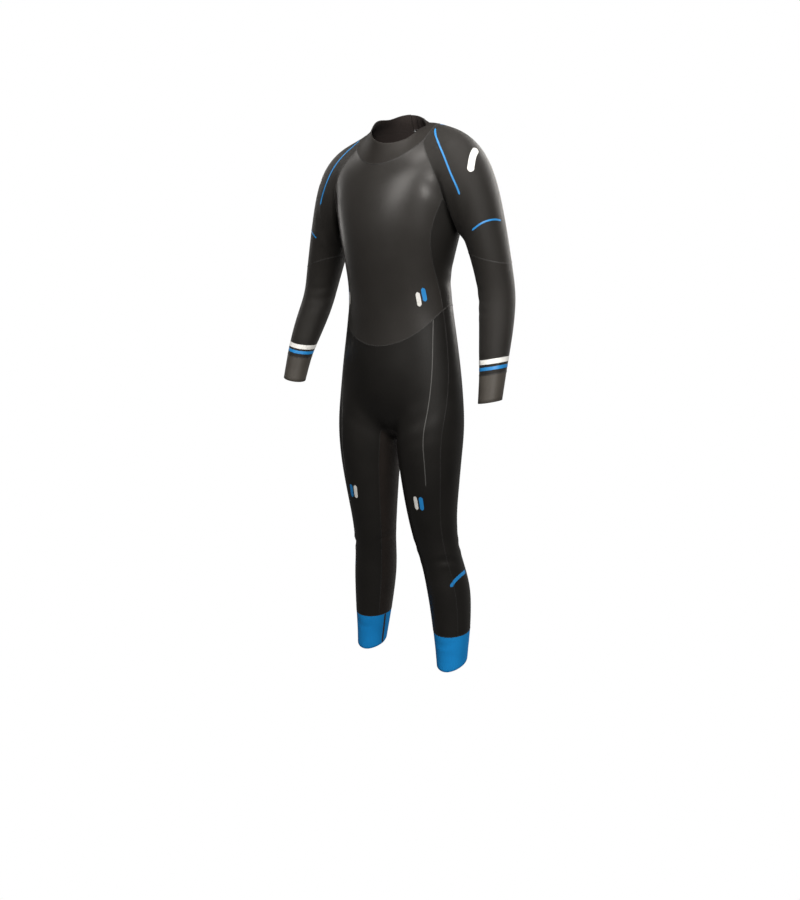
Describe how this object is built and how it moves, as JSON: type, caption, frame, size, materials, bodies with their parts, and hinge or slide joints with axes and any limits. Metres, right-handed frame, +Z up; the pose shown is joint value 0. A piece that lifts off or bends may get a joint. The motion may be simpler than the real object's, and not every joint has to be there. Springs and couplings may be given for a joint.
{
  "type": "wetsuit",
  "caption": "Full-length long-sleeved swimming wetsuit, filled out as if worn, with raglan sleeves, low collar, back zip, plain wrist cuffs and blue ankle cuffs.",
  "frame": {"origin": "between the shoulders at the base of the neck, 1.46 m above the wearer's sole, where the wearer carries the suit", "axes": "+Z up along the body, -Y the wearer's front, +X the wearer's left"},
  "size_m": [0.642, 0.2325, 1.391],
  "materials": {
    "smoothskin": "smooth, softly glossy black neoprene",
    "jersey": "matte black stretch lining on neoprene",
    "inner_jersey": "matte warm black stretch lining on neoprene",
    "grey_skin": "satin brown-grey thin neoprene",
    "blue_skin": "satin blue thin neoprene",
    "zip_tape": "woven black tape",
    "zip_teeth": "moulded black coil",
    "zip_metal": "dark satin lacquer"
  },
  "bodies": {
    "suit": {"ankle_cuff_left": "blue_skin", "ankle_cuff_right": "blue_skin", "back_left": "jersey", "back_right": "jersey", "collar": "grey_skin", "collar_tab": "grey_skin", "forearm_left": "jersey", "forearm_right": "jersey", "front_body": "smoothskin", "leg_back_left": "jersey", "leg_back_right": "jersey", "leg_front_left": "smoothskin", "leg_front_right": "smoothskin", "leg_inner_left": "inner_jersey", "leg_inner_right": "inner_jersey", "leg_outer_left": "smoothskin", "leg_outer_right": "smoothskin", "side_panel_left": "smoothskin", "side_panel_right": "smoothskin", "sleeve_left": "jersey", "sleeve_right": "jersey", "wrist_cuff_left": "grey_skin", "wrist_cuff_right": "grey_skin", "zip_chain": "zip_teeth", "zip_slider": "zip_metal", "zip_tape_left": "zip_tape", "zip_tape_right": "zip_tape"},
    "zip_pull": {"zip_pull": "zip_metal"}
  },
  "joints": [
    {"name": "pull_swing", "type": "hinge", "parent": "suit", "child": "zip_pull", "pos_m": [0, 0.08565, 0.02888], "axis": [1, 0, 0], "range_deg": [0, 120]}
  ]
}
